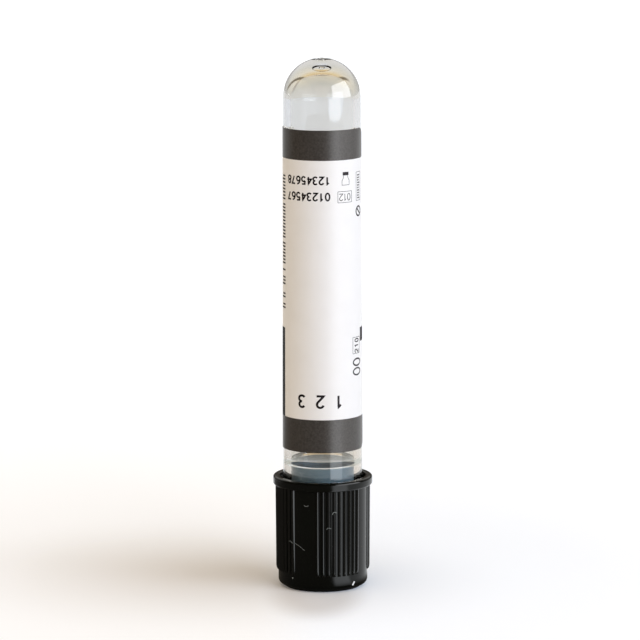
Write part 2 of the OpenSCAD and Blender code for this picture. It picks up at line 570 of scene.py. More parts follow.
class LabelShape(bpy.types.PropertyGroup):
    paper: FloatProperty(
        name="Paper thickness",
        description="Thickness of the label",
        default=0.08 * MM,
        unit="LENGTH",
    )
    ink: FloatProperty(
        name="Ink thickness",
        description="How far the printed fields stand off the paper",
        default=0.012 * MM,
        unit="LENGTH",
    )
    right_end: FloatProperty(
        name="Right-hand end",
        description="Angle in degrees from the front to the label's right-hand end",
        default=92,
    )
    window: FloatProperty(
        name="Clear window",
        description="Angle in degrees that the label leaves clear at the back",
        default=143,
    )
    corner: FloatProperty(
        name="Corner radius",
        description="Radius of the label's rounded corners",
        default=2.5 * MM,
        unit="LENGTH",
    )
    low_band: FloatProperty(
        name="Lower band",
        description="Height of the dark band at the cap's end",
        default=5.3 * MM,
        unit="LENGTH",
    )
    high_band: FloatProperty(
        name="Upper band",
        description="Height of the dark band at the dome's end",
        default=4.75 * MM,
        unit="LENGTH",
    )
    panel_height: FloatProperty(
        name="Panel height",
        description="Height of the dark panel above the lower band",
        default=14.2 * MM,
        unit="LENGTH",
    )
    panel_edge: FloatProperty(
        name="Panel edge",
        description="Angle in degrees from the front to the panel's near edge, on the left",
        default=-69,
    )
    tick_edge: FloatProperty(
        name="Panel's far end",
        description="Angle in degrees from the front to the panel's short far end, on the right",
        default=70,
    )
    tick_height: FloatProperty(
        name="Height of the far end",
        description="Height of the panel's short far end",
        default=2.2 * MM,
        unit="LENGTH",
    )


class MarksShape(bpy.types.PropertyGroup):
    stroke: FloatProperty(
        name="Stroke",
        description="Width of the lines of the small numbers",
        default=0.25 * MM,
        unit="LENGTH",
    )
    hairline: FloatProperty(
        name="Hairline",
        description="Width of the lines round the boxes",
        default=0.07 * MM,
        unit="LENGTH",
    )


class CapShape(bpy.types.PropertyGroup):
    wall_radius: FloatProperty(
        name="Wall radius",
        description="Radius of the plain wall near the closed end",
        default=7.1 * MM,
        unit="LENGTH",
    )
    wall_draft: FloatProperty(
        name="Wall draft",
        description="How much wider the wall is under the flange",
        default=0.08 * MM,
        unit="LENGTH",
    )
    flange_height: FloatProperty(
        name="Flange height",
        description="Thickness of the flange",
        default=1.45 * MM,
        unit="LENGTH",
    )
    rib_height: FloatProperty(
        name="Rib height",
        description="How far a rib stands off the wall under the flange",
        default=0.37 * MM,
        unit="LENGTH",
    )
    rib_width: FloatProperty(
        name="Rib width",
        description="Width of a rib at its foot",
        default=0.6 * MM,
        unit="LENGTH",
    )
    rib_start: FloatProperty(
        name="Rib start",
        description="Height at which the ribs run out into the wall",
        default=2.6 * MM,
        unit="LENGTH",
    )
    rib_groups: IntProperty(
        name="Groups of ribs",
        description="How many groups of ribs stand round the cap",
        default=4,
        min=1,
    )
    ribs_in_group: IntProperty(
        name="Ribs in a group",
        description="How many ribs each group has",
        default=9,
        min=1,
    )
    rib_pitch: FloatProperty(
        name="Rib pitch",
        description="Angle from one rib to the next",
        default=TAU / 52,
        subtype="ANGLE",
    )
    rib_middle: FloatProperty(
        name="Middle of the first group",
        description="Angle from the front to the middle of the first group",
        default=math.radians(21.3),
        subtype="ANGLE",
    )


class StopperShape(bpy.types.PropertyGroup):
    plug_radius: FloatProperty(
        name="Plug radius",
        description="Radius of the plug's sealing rings",
        default=5.0 * MM,
        unit="LENGTH",
    )
    cup_radius: FloatProperty(
        name="Cup radius",
        description="Radius of the cup in the plug's inner end",
        default=3.75 * MM,
        unit="LENGTH",
    )
    cup_depth: FloatProperty(
        name="Cup depth",
        description="Depth of the cup",
        default=4 * MM,
        unit="LENGTH",
    )


class SolutionShape(bpy.types.PropertyGroup):
    depth: FloatProperty(
        name="Depth",
        description="Depth of solution over the plug's rim, at the middle",
        default=0.8 * MM,
        unit="LENGTH",
    )
    climb: FloatProperty(
        name="Climb",
        description="How far the solution climbs up the wall",
        default=0.3 * MM,
        unit="LENGTH",
    )


class StageLook(bpy.types.PropertyGroup):
    view_distance: FloatProperty(
        name="Camera distance",
        description="Distance from the tube to the camera over the table",
        default=645 * MM,
        unit="LENGTH",
    )
    view_height: FloatProperty(
        name="Camera height",
        description="Height of the camera over the table",
        default=148.4 * MM,
        unit="LENGTH",
    )
    view_pitch: FloatProperty(
        name="Camera pitch",
        description="How far the camera looks down",
        default=math.radians(9.3),
        subtype="ANGLE",
    )
    view_roll: FloatProperty(
        name="Camera roll",
        description="How far the camera is turned about its own line of sight",
        default=math.radians(-0.14),
        subtype="ANGLE",
    )
    lens: FloatProperty(
        name="Lens",
        description="Focal length in millimetres on a 36 mm sensor",
        default=231.9,
    )
    floor_colour: FloatVectorProperty(
        name="Table colour",
        description="Colour of the table top",
        default=linear("#ececea")[:3],
        subtype="COLOR",
        size=3,
    )
    window_power: FloatProperty(
        name="Window",
        description="Power of the window light on the right, in watts",
        default=2.1,
    )
    sheen: FloatProperty(
        name="Sheen",
        description="How bright gloss shows the table on its right side",
        default=1.15,
    )
    streak: FloatProperty(
        name="Streak",
        description="How bright gloss shows the streak that the window leaves on the table",
        default=3.5,
    )


# ---------------------------------------------------------------- pieces


class BLOOD_TUBE_OT_stage(bpy.types.Operator):
    """Makes the table, the soft light and the camera"""

    bl_idname = "blood_tube.stage"
    bl_label = "Stage"

    def execute(self, context):
        look = context.scene.stage_look
        self.make_table(look)
        self.make_room(context.scene)
        self.make_window(look)
        self.make_camera(context.scene, look)
        context.scene.view_settings.view_transform = "Standard"
        return {"FINISHED"}

    def make_camera(self, scene, look):
        """The camera in front of the tube, a little to its left."""
        aside = -0.37 * MM
        camera = bpy.data.cameras.new("camera")
        camera.lens = look.lens
        camera.sensor_width = 36
        camera.clip_start = 10 * MM
        holder = add_piece("camera", camera)
        holder.location = (aside, -look.view_distance, look.view_height)
        pitch = Matrix.Rotation(math.pi / 2 - look.view_pitch, 3, "X")
        roll = Matrix.Rotation(look.view_roll, 3, "Z")
        holder.rotation_euler = (pitch @ roll).to_euler()
        scene.camera = holder

    def make_window(self, look):
        """The light of a broad window to the right and in front. Gloss shows the panes instead."""
        azimuth = math.radians(48)
        distance = 550 * MM
        height = 210 * MM
        target = Vector((0, 0, 45 * MM))
        lamp = bpy.data.lights.new("window", "AREA")
        lamp.shape = "RECTANGLE"
        lamp.size = 600 * MM
        lamp.size_y = 420 * MM
        lamp.energy = look.window_power
        lamp.color = linear("#d9e6ff")[:3]
        window = add_piece("window", lamp)
        window.visible_glossy = False
        window.location = Vector((distance * math.sin(azimuth), -distance * math.cos(azimuth), height))
        window.rotation_euler = (target - window.location).to_track_quat("-Z", "Y").to_euler()

    def make_table(self, look):
        """The table top, which reaches past what the camera sees."""
        half = 4.0
        mesh = bpy.data.meshes.new("table")
        corners = [(-half, -half, 0), (half, -half, 0), (half, half, 0), (-half, half, 0)]
        mesh.from_pydata(corners, [], [(0, 1, 2, 3)])
        mesh.materials.append(self.white_laminate(look))
        add_piece("table", mesh)

    def white_laminate(self, look):
        """White laminate, pressed matt. The camera, gloss and glass each get their own share of
        its white as a glow, so that it stays pale round the tube while the tube keeps its shadow."""
        material, tree = start_material("white laminate")
        path = add_node(tree, "ShaderNodeLightPath").outputs
        place = add_node(tree, "ShaderNodeTexCoord").outputs["Object"]
        away = add_node(tree, "ShaderNodeVectorMath", {0: place}, operation="LENGTH")
        colour = self.table_colour(tree, path, place, look)
        lit = add_node(tree, "ShaderNodeBsdfDiffuse", {"Color": colour, "Roughness": 0.5})
        glow = add_node(tree, "ShaderNodeEmission", {"Strength": 0.0})
        for kind, hex_colour, strength in (
            ("Is Glossy Ray", "#e9eef2", self.white_off_gloss(tree, place, away, look)),
            ("Is Transmission Ray", "#9bcaff", self.white_through_glass(tree, away)),
            ("Is Camera Ray", "#e2eefb", self.white_in_sight(tree, place, away)),
        ):
            shown = add_node(
                tree, "ShaderNodeEmission", {"Color": linear(hex_colour), "Strength": strength}
            )
            glow = add_node(tree, "ShaderNodeMixShader", {0: path[kind], 1: glow, 2: shown})
        return finish_material(material, add_node(tree, "ShaderNodeAddShader", {0: lit, 1: glow}))

    def table_colour(self, tree, path, place, look):
        """The table's own colour. Gloss shows it dim. The camera sees deeper shadows than those
        that light the tube from below: warm on the left, where the light comes off a wall, and
        cool on the right, by the window."""
        mirrored = add_node(
            tree,
            "ShaderNodeMath",
            {0: path["Is Glossy Ray"], 1: path["Is Transmission Ray"]},
            operation="SUBTRACT",
            use_clamp=True,
        )
        unseen = add_node(
            tree,
            "ShaderNodeMix",
            {"Factor": mirrored, "A": (*look.floor_colour, 1), "B": linear("#75736f")},
            data_type="RGBA",
        )
        cool_side = add_node(
            tree,
            "ShaderNodeMapRange",
            {
                "Value": add_node(tree, "ShaderNodeSeparateXYZ", {0: place}).outputs["X"],
                "From Min": -12 * MM,
                "From Max": 2 * MM,
            },
            interpolation_type="SMOOTHSTEP",
        )
        in_sight = add_node(
            tree,
            "ShaderNodeMix",
            {"Factor": cool_side, "A": linear("#e3dfd8"), "B": linear("#e0e1e2")},
            data_type="RGBA",
        )
        return add_node(
            tree,
            "ShaderNodeMix",
            {"Factor": path["Is Camera Ray"], "A": unseen, "B": in_sight},
            data_type="RGBA",
        )

    def white_off_gloss(self, tree, place, away, look):
        """How bright gloss shows the table: dim at the cap's foot and in front on the left,
        brighter behind, with a sheen on the window's side and the window's own streak in it."""
        window_side = (0.82, 0.57, 0)
        streak_side = (0.643, -0.766, 0)
        bar_at = 697 * MM
        towards_window = add_node(
            tree, "ShaderNodeVectorMath", {0: place, 1: window_side}, operation="DOT_PRODUCT"
        )
        sheen = add_node(
            tree,
            "ShaderNodeMapRange",
            {
                "Value": towards_window,
                "From Min": -1.5 * MM,
                "From Max": 4 * MM,
                "To Max": look.sheen,
            },
            interpolation_type="SMOOTHSTEP",
        )
        behind = add_node(
            tree,
            "ShaderNodeMapRange",
            {
                "Value": add_node(tree, "ShaderNodeSeparateXYZ", {0: place}).outputs["Y"],
                "From Min": 30 * MM,
                "From Max": 200 * MM,
                "To Max": 0.6,
            },
        )
        plain_sheen = add_node(tree, "ShaderNodeMath", {0: sheen, 1: behind}, operation="MAXIMUM")
        outwards = add_node(tree, "ShaderNodeVectorMath", {0: place}, operation="NORMALIZE")
        in_streak = add_node(
            tree, "ShaderNodeVectorMath", {0: outwards, 1: streak_side}, operation="DOT_PRODUCT"
        )
        streak = add_node(
            tree,
            "ShaderNodeMapRange",
            {"Value": in_streak, "From Min": 0.93, "From Max": 0.974, "To Max": look.streak},
            interpolation_type="SMOOTHSTEP",
        )
        # a bar of the window crosses the streak far off
        past_bar = add_node(tree, "ShaderNodeMath", {0: away, 1: bar_at}, operation="SUBTRACT")
        off_bar = add_node(tree, "ShaderNodeMath", {0: past_bar}, operation="ABSOLUTE")
        clear_of_bar = add_node(
            tree,
            "ShaderNodeMapRange",
            {"Value": off_bar, "From Min": 22 * MM, "From Max": 44 * MM, "To Min": 0.25},
            interpolation_type="SMOOTHSTEP",
        )
        barred_streak = add_node(
            tree, "ShaderNodeMath", {0: streak, 1: clear_of_bar}, operation="MULTIPLY"
        )
        whole = add_node(
            tree, "ShaderNodeMath", {0: plain_sheen, 1: barred_streak}, operation="MAXIMUM"
        )
        past_foot = add_node(
            tree,
            "ShaderNodeMapRange",
            {"Value": away, "From Min": 9 * MM, "From Max": 14 * MM},
            interpolation_type="SMOOTHSTEP",
        )
        return add_node(tree, "ShaderNodeMath", {0: whole, 1: past_foot}, operation="MULTIPLY")

    def white_through_glass(self, tree, away):
        """How much of the table's white glass shows: more, and so bluer, far off than near."""
        return add_node(
            tree,
            "ShaderNodeMapRange",
            {"Value": away, "From Min": 60 * MM, "From Max": 350 * MM, "To Max": 0.3},
        )

    def white_in_sight(self, tree, place, away):
        """What makes up to the camera for the lamps: all but two shadows near the cap, a warm
        broad one to its left and a small one in front of it, and more far off."""
        share_near = 0.39
        left_shadow = self.clear_of(
            tree,
            place,
            middle=(-19 * MM, 6 * MM),
            half_size=(36 * MM, 30 * MM),
            turn=math.radians(-22),
            start=-0.45,
            end=1.5,
        )
        front_shadow = self.clear_of(
            tree,
            place,
            middle=(-1 * MM, -8 * MM),
            half_size=(9.5 * MM, 21 * MM),
            turn=0.0,
            start=0.35,
            end=1.0,
        )
        clear_of_both = add_node(
            tree, "ShaderNodeMath", {0: left_shadow, 1: front_shadow}, operation="MULTIPLY"
        )
        near = add_node(
            tree, "ShaderNodeMath", {0: clear_of_both, 1: share_near}, operation="MULTIPLY"
        )
        far = add_node(
            tree,
            "ShaderNodeMapRange",
            {"Value": away, "From Min": 45 * MM, "From Max": 300 * MM, "To Max": 0.4},
        )
        return add_node(tree, "ShaderNodeMath", {0: near, 1: far}, operation="ADD")

    def clear_of(self, tree, place, middle, half_size, turn, start, end):
        """0 in the middle of an oval shadow on the table and 1 well clear of it. start and end say
        where the shadow begins to fade and where it is gone, in half sizes."""
        inside = add_node(
            tree,
            "ShaderNodeMapping",
            {
                "Vector": place,
                "Location": (*middle, 0),
                "Rotation": (0, 0, turn),
                "Scale": (*half_size, 1),
            },
            vector_type="TEXTURE",
        )
        off_middle = add_node(tree, "ShaderNodeVectorMath", {0: inside}, operation="LENGTH")
        return add_node(
            tree,
            "ShaderNodeMapRange",
            {"Value": off_middle, "From Min": start, "From Max": end},
            interpolation_type="SMOOTHSTEP",
        )

    def make_room(self, scene):
        """A room round the table: white where the camera sees it. Glass shows its walls and
        ceiling, gloss its back wall and its window, and its light reaches everything."""
        world = bpy.data.worlds.new("room")
        world.use_nodes = True
        tree = world.node_tree
        tree.nodes.clear()
        path = add_node(tree, "ShaderNodeLightPath").outputs
        direction = add_node(tree, "ShaderNodeTexCoord").outputs["Generated"]
        towards = add_node(tree, "ShaderNodeSeparateXYZ", {0: direction}).outputs
        in_gloss_or_glass = add_node(
            tree,
            "ShaderNodeMix",
            {
                "Factor": path["Is Transmission Ray"],
                "A": self.room_off_gloss(tree, direction, towards),
                "B": self.room_through_glass(tree, towards),
            },
            data_type="RGBA",
        )
        seen = add_node(
            tree,
            "ShaderNodeMix",
            {"Factor": path["Is Camera Ray"], "A": in_gloss_or_glass, "B": linear("#ffffff")},
            data_type="RGBA",
        )
        shown = add_node(tree, "ShaderNodeBackground", {"Color": seen})
        behind_wall = add_node(
            tree,
            "ShaderNodeMath",
            {0: path["Diffuse Depth"], 1: path["Is Transmission Ray"]},
            operation="MULTIPLY",
            use_clamp=True,
        )
        in_sight = add_node(
            tree,
            "ShaderNodeMath",
            {0: self.seen_rays(tree, path), 1: behind_wall},
            operation="SUBTRACT",
            use_clamp=True,
        )
        lighting = self.room_light(tree, towards, behind_wall)
        mix = add_node(tree, "ShaderNodeMixShader", {0: in_sight, 1: lighting, 2: shown})
        add_node(tree, "ShaderNodeOutputWorld", {"Surface": mix})
        scene.world = world

    def seen_rays(self, tree, path):
        """1 for the rays that show a background: from the camera, off gloss and through glass."""
        first = add_node(
            tree,
            "ShaderNodeMath",
            {0: path["Is Camera Ray"], 1: path["Is Glossy Ray"]},
            operation="MAXIMUM",
        )
        return add_node(
            tree, "ShaderNodeMath", {0: first, 1: path["Is Transmission Ray"]}, operation="MAXIMUM"
        )

    def room_light(self, tree, towards, behind_wall):
        """The room's even light: warm from the left and from overhead, cool from the right. What
        lies behind the clear wall isn't reached by the lamp, and the room makes up for it."""
        side = add_node(
            tree, "ShaderNodeMapRange", {"Value": towards["X"], "From Min": -1, "From Max": 1}
        )
        around = add_node(
            tree,
            "ShaderNodeMix",
            {"Factor": side, "A": linear("#dcc4a6"), "B": linear("#e6eef9")},
            data_type="RGBA",
        )
        overhead = add_node(
            tree, "ShaderNodeMapRange", {"Value": towards["Z"], "From Min": 0.3, "To Max": 0.7}
        )
        colour = add_node(
            tree,
            "ShaderNodeMix",
            {"Factor": overhead, "A": around, "B": linear("#d9c29d")},
            data_type="RGBA",
        )
        from_behind = add_node(
            tree,
            "ShaderNodeMapRange",
            {"Value": towards["Y"], "From Min": -1, "From Max": 1, "To Min": 0.95, "To Max": 1.15},
        )
        instead_of_lamp = add_node(
            tree, "ShaderNodeMapRange", {"Value": behind_wall, "To Min": 1.0, "To Max": 3.3}
        )
        strength = add_node(
            tree, "ShaderNodeMath", {0: from_behind, 1: instead_of_lamp}, operation="MULTIPLY"
        )
        return add_node(tree, "ShaderNodeBackground", {"Color": colour, "Strength": strength})

    def room_through_glass(self, tree, towards):
        """What glass shows: pale walls that turn tan and brown overhead, and brown posts."""
        walls = add_node(tree, "ShaderNodeValToRGB", {0: towards["Z"]})
        elements = walls.color_ramp.elements
        for height, hex_colour in (
            (0.08, "#dedcdb"),
            (0.16, "#d9d8d4"),
            (0.3, "#dfdbd1"),
            (0.55, "#ece4d4"),
            (0.75, "#ead2a4"),
            (0.9, "#c49a5c"),
            (0.97, "#5d4526"),
        ):
            elements.new(height).color = linear(hex_colour)
        # the two that every ramp starts with
        elements.remove(elements[0])
        elements.remove(elements[-1])
        return add_node(
            tree,
            "ShaderNodeMix",
            {"Factor": self.posts(tree, towards), "A": walls, "B": linear("#5f4f36")},
            data_type="RGBA",
        )

    def posts(self, tree, towards):
        """1 on a post on each side of the room. The foot of both is hidden, and more of the one
        on the right."""
        post_aside = 0.41
        hidden_on_right = 0.3
        on_right = add_node(
            tree, "ShaderNodeMath", {0: towards["X"], 1: 0.0}, operation="GREATER_THAN"
        )
        hidden = add_node(
            tree, "ShaderNodeMath", {0: on_right, 1: hidden_on_right}, operation="MULTIPLY"
        )
        up = add_node(tree, "ShaderNodeMath", {0: towards["Z"], 1: hidden}, operation="SUBTRACT")
        above_foot = add_node(
            tree,
            "ShaderNodeMapRange",
            {"Value": up, "From Min": 0.1, "From Max": 0.3, "To Max": 0.9},
            interpolation_type="SMOOTHSTEP",
        )
        aside = add_node(tree, "ShaderNodeMath", {0: towards["X"]}, operation="ABSOLUTE")
        past = add_node(tree, "ShaderNodeMath", {0: aside, 1: post_aside}, operation="SUBTRACT")
        off_post = add_node(tree, "ShaderNodeMath", {0: past}, operation="ABSOLUTE")
        within = add_node(
            tree,
            "ShaderNodeMapRange",
            {"Value": off_post, "From Min": 0.03, "From Max": 0.1, "To Min": 1.0, "To Max": 0.0},
            interpolation_type="SMOOTHSTEP",
        )
        return add_node(tree, "ShaderNodeMath", {0: above_foot, 1: within}, operation="MULTIPLY")

    def room_off_gloss(self, tree, direction, towards):
        """What gloss shows: a dim room with a pale back wall over a dark strip, and the window."""
        behind = add_node(
            tree,
            "ShaderNodeMapRange",
            {"Value": towards["Y"], "From Min": 0.2, "From Max": 0.8},
            interpolation_type="SMOOTHSTEP",
        )
        over_strip = add_node(
            tree,
            "ShaderNodeMapRange",
            {"Value": towards["Z"], "From Min": 0.2, "From Max": 0.3},
            interpolation_type="SMOOTHSTEP",
        )
        back_wall = add_node(
            tree, "ShaderNodeMath", {0: behind, 1: over_strip}, operation="MULTIPLY"
        )
        room = add_node(
            tree,
            "ShaderNodeMix",
            {"Factor": back_wall, "A": linear("#4a4238"), "B": linear("#d9d6d0")},
            data_type="RGBA",
        )
        panes = self.window_panes(tree, direction, towards)
        return add_node(
            tree,
            "ShaderNodeMix",
            {"Factor": panes, "A": room, "B": (5.9, 6.0, 6.2, 1)},
            data_type="RGBA",
        )

    def window_panes(self, tree, direction, towards):
        """1 inside the window that gloss shows, with a soft edge. Its middle and half sizes are
        tangents, as seen from the table: to the side, and upwards from below the sill."""
        middle = math.radians(64)
        ahead = Vector((math.sin(middle), -math.cos(middle), 0))
        aside = Vector((math.cos(middle), math.sin(middle), 0))
        edge = 0.08
        depth = add_node(
            tree, "ShaderNodeVectorMath", {0: direction, 1: ahead}, operation="DOT_PRODUCT"
        )
        across = add_node(
            tree, "ShaderNodeVectorMath", {0: direction, 1: aside}, operation="DOT_PRODUCT"
        )
        in_front = add_node(tree, "ShaderNodeMath", {0: depth, 1: 0.05}, operation="MAXIMUM")
        both = 1.0
        for reach, centre, half in ((across, 0.0, 0.65), (towards["Z"], 0.4, 0.45)):
            share = add_node(tree, "ShaderNodeMath", {0: reach, 1: in_front}, operation="DIVIDE")
            past = add_node(tree, "ShaderNodeMath", {0: share, 1: centre}, operation="SUBTRACT")
            off = add_node(tree, "ShaderNodeMath", {0: past}, operation="ABSOLUTE")
            inside = add_node(
                tree,
                "ShaderNodeMapRange",
                {"Value": off, "From Min": half, "From Max": half - edge},
                interpolation_type="SMOOTHSTEP",
            )
            both = add_node(tree, "ShaderNodeMath", {0: inside, 1: both}, operation="MULTIPLY")
        return both


class BLOOD_TUBE_OT_tube(bpy.types.Operator):
    """Makes the clear tube: tapered wall, domed end and sunk gate mark"""

    bl_idname = "blood_tube.tube"
    bl_label = "Tube"

    def execute(self, context):
        shape = context.scene.tube_shape
        mouth_z = TUBE_LOW.z
        top_z = TUBE_HIGH.z
        dome_z = top_z - shape.dome_radius
        rim_z = dome_z + math.sqrt(shape.dome_radius**2 - shape.gate_radius**2)
        floor_z = rim_z - shape.gate_depth
        pip_round = 0.12 * MM
        ease = 0.05 * MM
        lip = 0.3 * MM
        inner_lip = 0.15 * MM
        rim_angle = math.degrees(math.acos(shape.gate_radius / shape.dome_radius))
        section = [(0, top_z)]
        section += arc(shape.pip_radius - pip_round, top_z - pip_round, pip_round, 90, 0, 4)
        section += arc(shape.pip_radius + ease, floor_z + ease, ease, 180, 270, 3)
        section += arc(shape.gate_radius - 2 * ease, floor_z + ease, ease, -90, 0, 3)
        section += arc(shape.gate_radius, rim_z - ease, ease, 180, rim_angle, 4)
        section += arc(0, dome_z, shape.dome_radius, rim_angle - 1, 0, 36)
        section += [(tube_radius(z), z) for z in self.levels(dome_z, mouth_z + lip)]
        section += arc(shape.mouth_radius - lip, mouth_z + lip, lip, -10, -90, 5)
        inner_r = shape.bore_mouth_radius + inner_lip
        section += arc(inner_r, mouth_z + inner_lip, inner_lip, 270, 190, 4)
        core_z = dome_z + shape.core_height
        turn_z = core_z - shape.core_round
        slope = (shape.bore_dome_radius - shape.bore_mouth_radius) / (turn_z - mouth_z)
        for z in self.levels(mouth_z + lip, turn_z)[:-1]:
            section.append((shape.bore_mouth_radius + slope * (z - mouth_z), z))
        core_r = shape.bore_dome_radius - shape.core_round
        section += arc(core_r, turn_z, shape.core_round, 0, 90, 40)
        section.append((0, core_z))
        piece = lathe("tube_wall", section, 256, sharp_degrees=60)
        dress(piece, TUBE_BODY, clear_pet(), "tube_plastic", "tube")
        return {"FINISHED"}

    def levels(self, start, end, steps=14):
        """Heights along the wall, after its start and up to its end."""
        return [start + (end - start) * i / steps for i in range(1, steps + 1)]


class BLOOD_TUBE_OT_label(bpy.types.Operator):
    """Makes the white label with its rounded corners, and its dark printed fields"""

    bl_idname = "blood_tube.label"
    bl_label = "Label"

    def execute(self, context):
        shape = context.scene.label_shape
        start = shape.right_end + shape.window - 360
        end = shape.right_end
        low = LABEL_LOW.z
        high = LABEL_HIGH.z
        paper = self.field(shape, "tube_label", (start, end, low, high), 0, shape.paper, 24)
        dress(paper, TUBE_BODY, coated_paper(), "label_paper", "label")

        band_top = low + shape.low_band
        band_foot = high - shape.high_band
        panel_top = band_top + shape.panel_height
        edges = (
            (start, end, low, band_top),
            (start, end, band_foot, high),
        )
        panels = (
            (start, shape.panel_edge, band_top, panel_top),
            (shape.tick_edge, end, panel_top - shape.tick_height, panel_top),
        )
        under = shape.paper / 2
        over = shape.paper + shape.ink
        for name, spans, ink in (
            ("label_bands", edges, printed_charcoal()),
            ("label_panels", panels, printed_black()),
        ):
            fields = [self.field(shape, "field", span, under, over, 8) for span in spans]
            dress(join(name, fields), TUBE_BODY, ink, "label_ink", "label_print")
        return {"FINISHED"}

    def field(self, shape, name, span, near, far, rows):
        """A field of the label: span is its left and right edge, its foot and its top."""
        left, right, foot, top = span
        columns = self.columns(shape, left, right)
        cuts = [self.inset(shape, degrees) for degrees in columns]
        lows = [max(foot, LABEL_LOW.z + cut) for cut in cuts]
        highs = [min(top, LABEL_HIGH.z - cut) for cut in cuts]
        return wrapped_strip(name, columns, lows, highs, near, far, rows)

    def columns(self, shape, left, right):
        """Angles across a field: close together near the label's ends, where its corners are."""
        reach = math.degrees(shape.corner / tube_radius(LABEL_HIGH.z))
        plain_step = 1.5
        finest_step = 0.2
        found = []
        degrees = left
        while degrees < right - 1e-6:
            found.append(degrees)
            gap = self.gap(shape, degrees)
            degrees += plain_step if gap > reach else finest_step + gap / reach
        return [*found, right]

    def inset(self, shape, degrees):
        """How far the label's rounded corners cut into its height at an angle."""
        gap = math.radians(self.gap(shape, degrees))
        along = shape.corner - gap * tube_radius(LABEL_HIGH.z)
        if along <= 0:
            return 0.0
        return shape.corner - math.sqrt(max(shape.corner**2 - along**2, 0))

    def gap(self, shape, degrees):
        """The angle from here to the nearer end of the label."""
        start = shape.right_end + shape.window - 360
        return min(degrees - start, shape.right_end - degrees)


